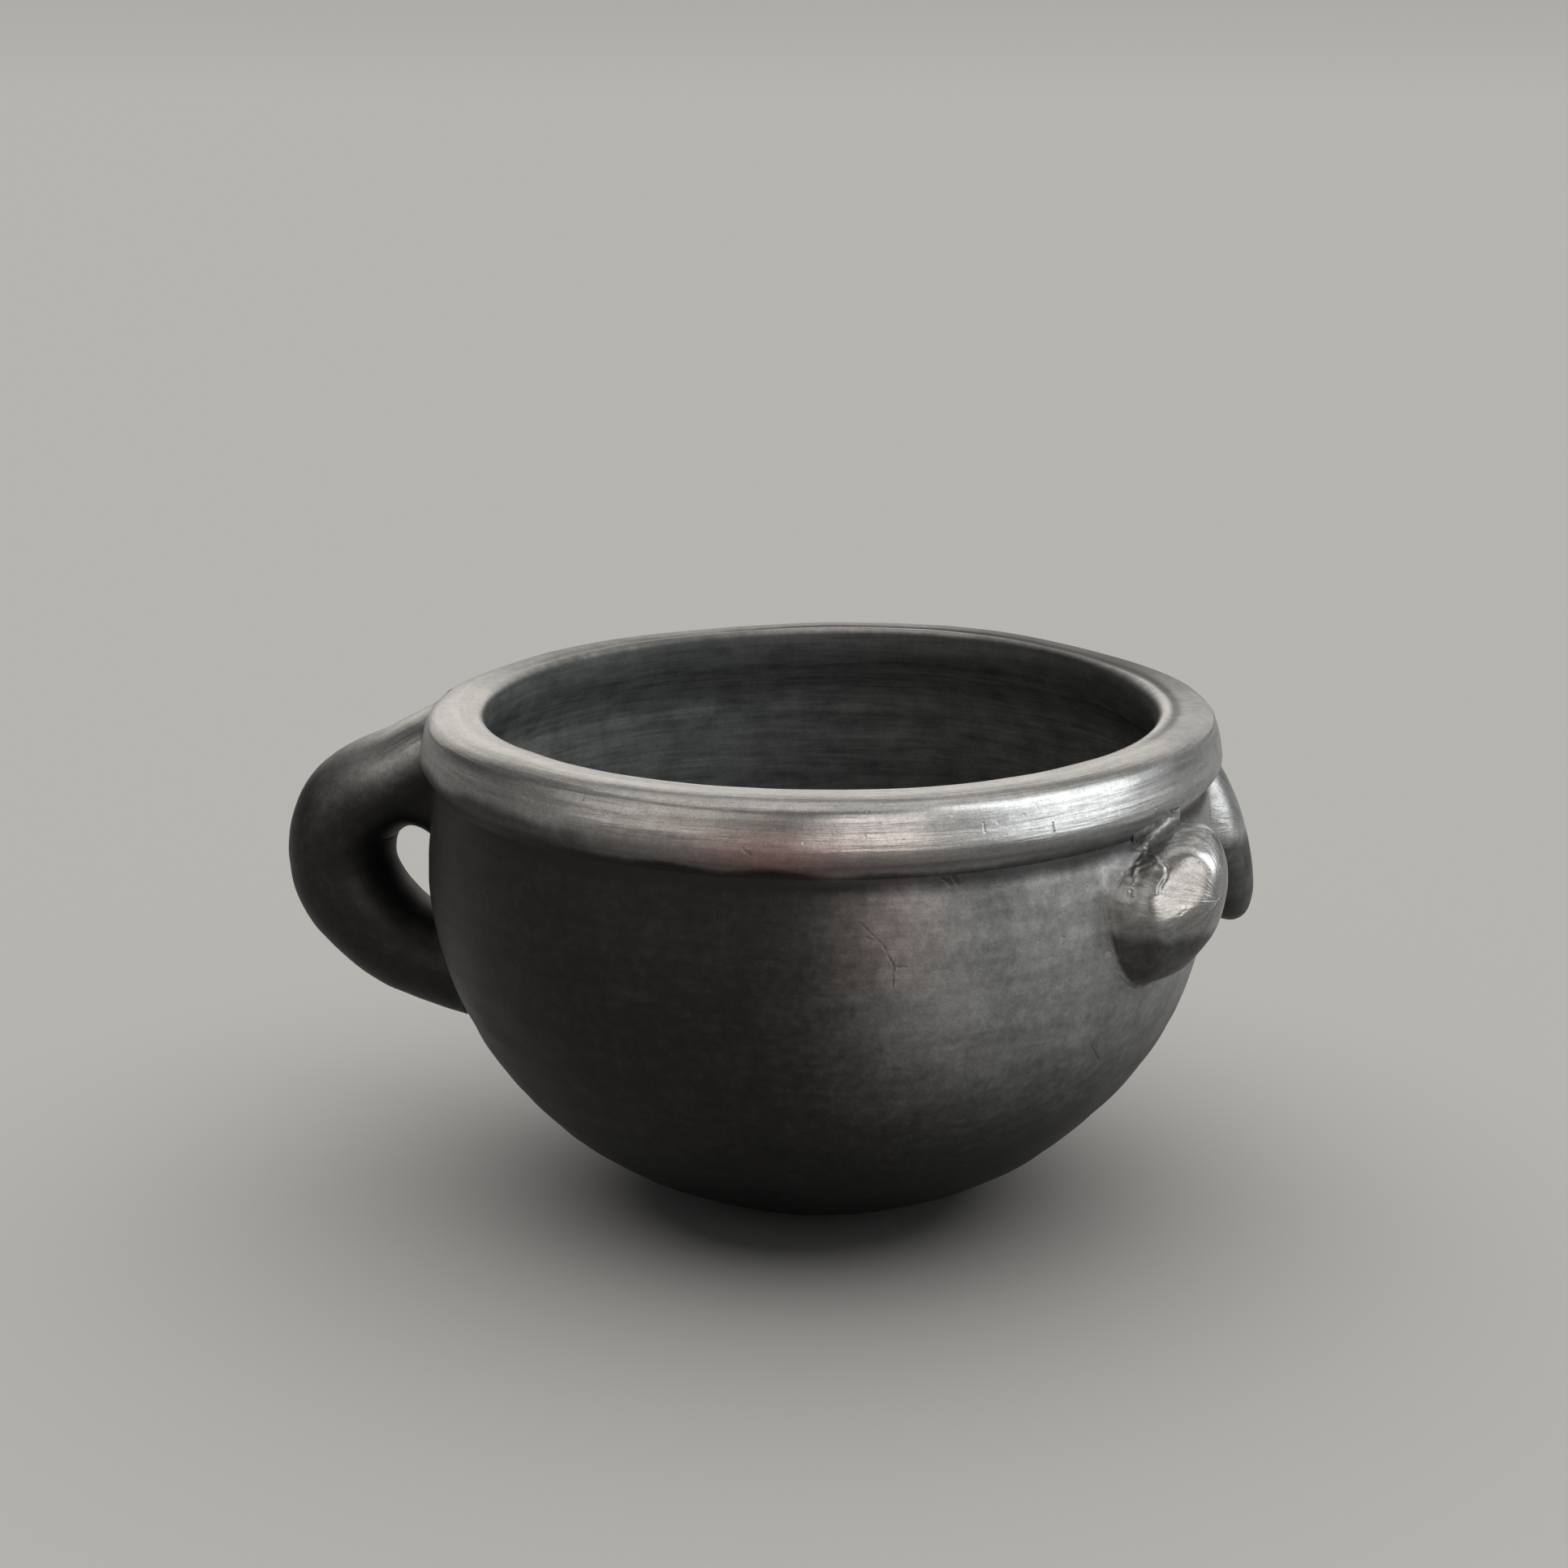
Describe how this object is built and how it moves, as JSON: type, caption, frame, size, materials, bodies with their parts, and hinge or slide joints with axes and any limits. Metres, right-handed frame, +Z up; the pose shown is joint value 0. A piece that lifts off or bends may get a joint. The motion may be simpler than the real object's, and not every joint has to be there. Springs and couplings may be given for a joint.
{
  "type": "hand-built black clay pot",
  "caption": "Burnished black clay pot with a thick rolled rim, a loop handle on one side, a blunt knob and a drooping lug.",
  "frame": {"origin": "middle of the flat spot that the pot stands on, on the axis of the bowl", "axes": "+Z up along the axis of the bowl, +X towards the side with the drooping lug, -Y towards the viewer with the knob at the front right"},
  "size_m": [0.2269, 0.18, 0.113],
  "materials": {
    "bowl_clay": "stone-burnished, smoke-fired, graphite sheen outside, matt inside",
    "rim_clay": "heavily burnished, smoke-fired, satin graphite sheen",
    "handle_clay": "stone-burnished, smoke-fired, satin",
    "knob_clay": "burnished in facets, smoke-fired, satin",
    "luting_clay": "finger-smeared joint clay, smoke-fired, dull satin"
  },
  "bodies": {
    "root": {"bowl_base": "bowl_clay", "wall_coil_lower": "bowl_clay", "wall_coil_middle": "bowl_clay", "wall_coil_upper": "bowl_clay", "rim_collar": "rim_clay", "loop_handle": "handle_clay", "handle_upper_luting": "luting_clay", "handle_lower_luting": "luting_clay", "front_knob": "knob_clay", "front_knob_luting": "luting_clay", "side_lug": "knob_clay", "side_lug_luting": "luting_clay"}
  },
  "joints": []
}
